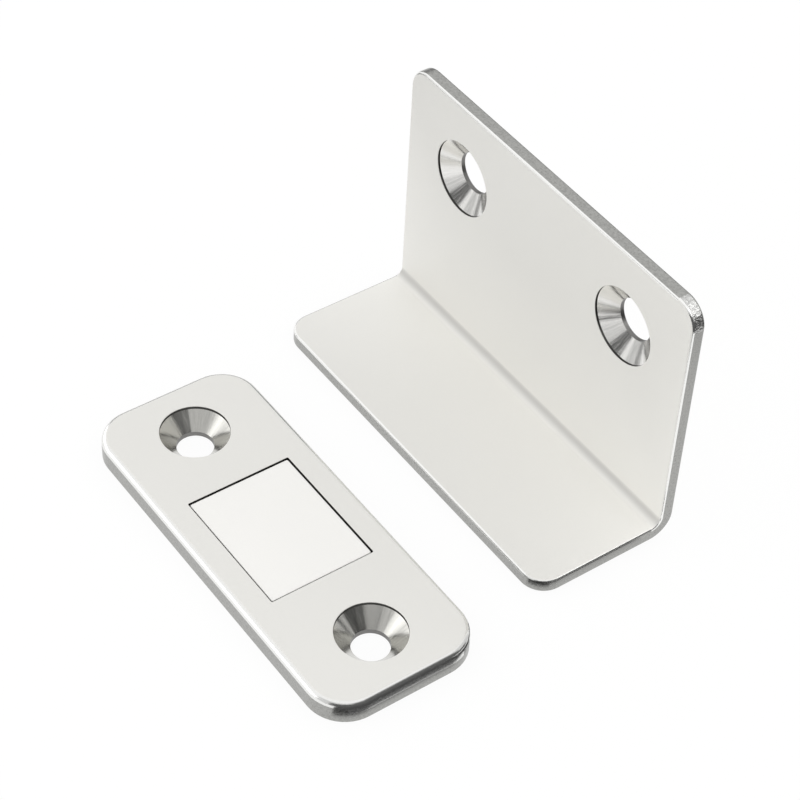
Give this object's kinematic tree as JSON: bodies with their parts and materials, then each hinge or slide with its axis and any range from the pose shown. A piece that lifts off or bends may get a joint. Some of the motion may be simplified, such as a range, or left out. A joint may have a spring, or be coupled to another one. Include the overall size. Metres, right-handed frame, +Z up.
{
  "type": "magnetic catch",
  "caption": "Slim magnetic catch: a flat screw-on plate with a flush block magnet, and a folded angle strike with pressed countersinks, set apart.",
  "frame": {"origin": "centre of the underside of the magnet plate, on the surface that both halves stand on", "axes": "+X along the magnet plate, +Y from the plate towards the strike, +Z up out of the magnet's face"},
  "size_m": [0.051, 0.0465, 0.0324],
  "materials": {
    "satin_steel": "fine satin, pale warm grey",
    "magnet_nickel": "matt nickel plating on a sintered block",
    "zinc_steel": "dull zinc plating"
  },
  "bodies": {
    "root": {"mounting_plate": "satin_steel", "magnet": "magnet_nickel", "backing_plate": "zinc_steel", "strike": "satin_steel"}
  },
  "joints": []
}
